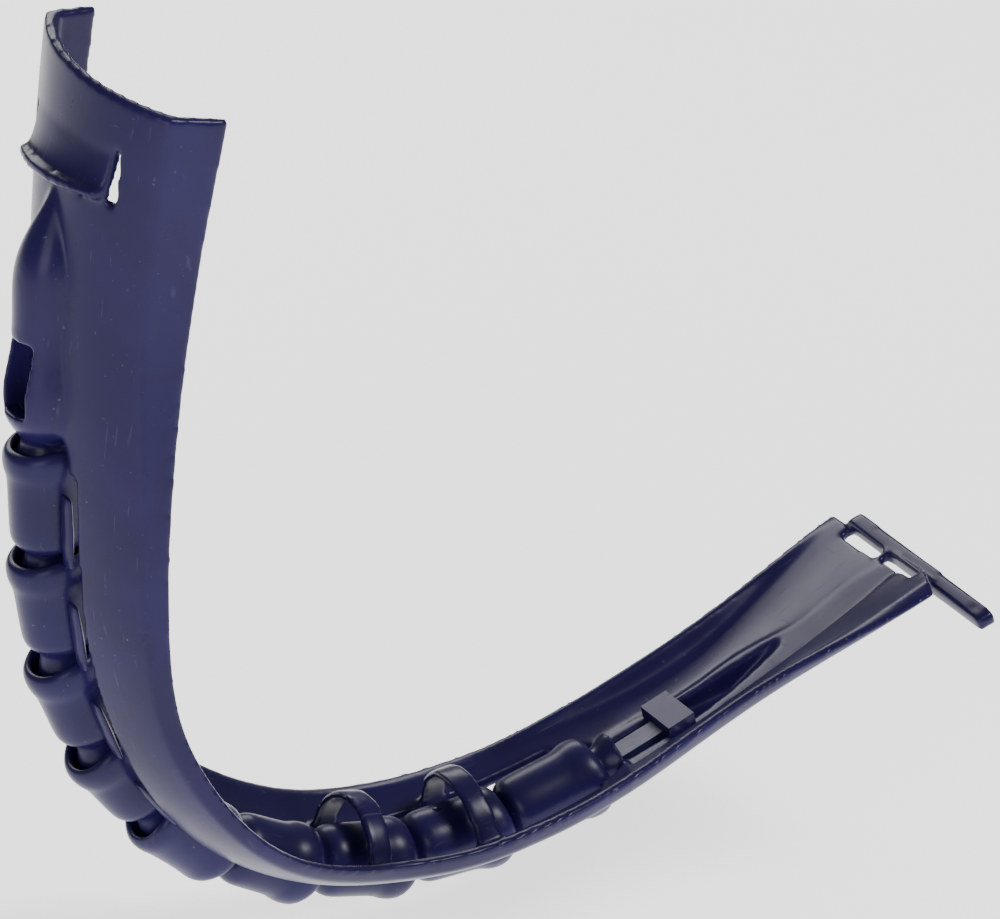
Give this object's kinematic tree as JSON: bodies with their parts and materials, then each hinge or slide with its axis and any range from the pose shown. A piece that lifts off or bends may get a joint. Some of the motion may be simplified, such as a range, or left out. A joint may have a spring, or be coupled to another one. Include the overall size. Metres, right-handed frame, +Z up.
{
  "type": "mask harness band",
  "caption": "Curved channel-shaped plastic harness band for the back of a catcher's mask, with a spine of barrel links, a strap hook at one end and a strap bar at the other.",
  "frame": {"origin": "middle of the seat for the back of the head, level with the free edges of the shell at the bend", "axes": "+Z up along the upper arm, +X along the lower arm, the width of the band along Y, the seat facing halfway between +X and +Z"},
  "size_m": [0.1807, 0.0587, 0.1736],
  "materials": {
    "shell_plastic": "glossy moulded navy plastic with fine scuffs",
    "link_plastic": "glossy moulded navy plastic",
    "core_plastic": "satin moulded navy plastic"
  },
  "bodies": {
    "middle": {"spine_link_5": "link_plastic", "shell_length_5": "shell_plastic"},
    "upper_link_1": {"spine_link_4": "link_plastic", "shell_length_4": "shell_plastic"},
    "upper_link_2": {"spine_link_3": "link_plastic", "shell_length_3": "shell_plastic"},
    "upper_link_3": {"spine_link_2": "link_plastic", "shell_length_2": "shell_plastic"},
    "upper_link_4": {"spine_link_1": "link_plastic", "shell_length_1": "shell_plastic"},
    "upper_arm": {"upper_arm_shell": "shell_plastic", "upper_keeper": "core_plastic"},
    "upper_core": {"upper_tongue": "core_plastic"},
    "lower_link_1": {"spine_link_6": "link_plastic", "shell_length_6": "shell_plastic"},
    "lower_link_2": {"spine_link_7": "link_plastic", "shell_length_7": "shell_plastic"},
    "lower_link_3": {"spine_link_8": "link_plastic", "shell_length_8": "shell_plastic"},
    "lower_link_4": {"spine_link_9": "link_plastic", "shell_length_9": "shell_plastic"},
    "lower_arm": {"lower_arm_shell": "shell_plastic", "lower_keeper": "core_plastic"},
    "lower_core": {"lower_tongue": "core_plastic"}
  },
  "joints": [
    {"name": "upper_bend", "type": "hinge", "parent": "middle", "child": "upper_link_1", "pos_m": [-0.00907, 0, -0.00227], "axis": [0, 1, 0], "range_deg": [-3, 1.5], "stiffness_Nm_per_rad": 2},
    {"name": "upper_bend_2", "type": "hinge", "parent": "upper_link_1", "child": "upper_link_2", "pos_m": [-0.02022, 0, 0.01242], "axis": [0, 1, 0], "range_deg": [-3, 1.5], "stiffness_Nm_per_rad": 0.5},
    {"name": "upper_bend_3", "type": "hinge", "parent": "upper_link_2", "child": "upper_link_3", "pos_m": [-0.02735, 0, 0.03053], "axis": [0, 1, 0], "range_deg": [-3, 1.5], "stiffness_Nm_per_rad": 0.5},
    {"name": "upper_bend_4", "type": "hinge", "parent": "upper_link_3", "child": "upper_link_4", "pos_m": [-0.03014, 0, 0.05038], "axis": [0, 1, 0], "range_deg": [-3, 1.5], "stiffness_Nm_per_rad": 0.5},
    {"name": "upper_bend_5", "type": "hinge", "parent": "upper_link_4", "child": "upper_arm", "pos_m": [-0.03034, 0, 0.0709], "axis": [0, 1, 0], "range_deg": [-3, 1.5], "stiffness_Nm_per_rad": 0.5},
    {"name": "upper_core_slide", "type": "slide", "parent": "upper_arm", "child": "upper_core", "axis": [-0.0288, 0, -0.9996], "range_m": [-0.0016, 0.0008]},
    {"name": "lower_bend", "type": "hinge", "parent": "middle", "child": "lower_link_1", "pos_m": [-0.00066, 0, -0.00933], "axis": [0, -1, 0], "range_deg": [-3, 1.5], "stiffness_Nm_per_rad": 2},
    {"name": "lower_bend_2", "type": "hinge", "parent": "lower_link_1", "child": "lower_link_2", "pos_m": [0.01574, 0, -0.01776], "axis": [0, -1, 0], "range_deg": [-3, 1.5], "stiffness_Nm_per_rad": 0.5},
    {"name": "lower_bend_3", "type": "hinge", "parent": "lower_link_2", "child": "lower_link_3", "pos_m": [0.03483, 0, -0.0214], "axis": [0, -1, 0], "range_deg": [-3, 1.5], "stiffness_Nm_per_rad": 0.5},
    {"name": "lower_bend_4", "type": "hinge", "parent": "lower_link_3", "child": "lower_link_4", "pos_m": [0.05476, 0, -0.0203], "axis": [0, -1, 0], "range_deg": [-3, 1.5], "stiffness_Nm_per_rad": 0.5},
    {"name": "lower_bend_5", "type": "hinge", "parent": "lower_link_4", "child": "lower_arm", "pos_m": [0.07465, 0, -0.01521], "axis": [0, -1, 0], "range_deg": [-3, 1.5], "stiffness_Nm_per_rad": 0.5},
    {"name": "lower_core_slide", "type": "slide", "parent": "lower_arm", "child": "lower_core", "axis": [-0.9385, 0, -0.3453], "range_m": [-0.0016, 0.0008]}
  ],
  "couplings": [
    {"joint": "upper_bend_2", "follows": "upper_bend", "ratio": 1},
    {"joint": "upper_bend_3", "follows": "upper_bend", "ratio": 1},
    {"joint": "upper_bend_4", "follows": "upper_bend", "ratio": 1},
    {"joint": "upper_bend_5", "follows": "upper_bend", "ratio": 1},
    {"joint": "upper_core_slide", "follows": "upper_bend", "m_per_rad": 0.03},
    {"joint": "lower_bend_2", "follows": "lower_bend", "ratio": 1},
    {"joint": "lower_bend_3", "follows": "lower_bend", "ratio": 1},
    {"joint": "lower_bend_4", "follows": "lower_bend", "ratio": 1},
    {"joint": "lower_bend_5", "follows": "lower_bend", "ratio": 1},
    {"joint": "lower_core_slide", "follows": "lower_bend", "m_per_rad": 0.03}
  ]
}
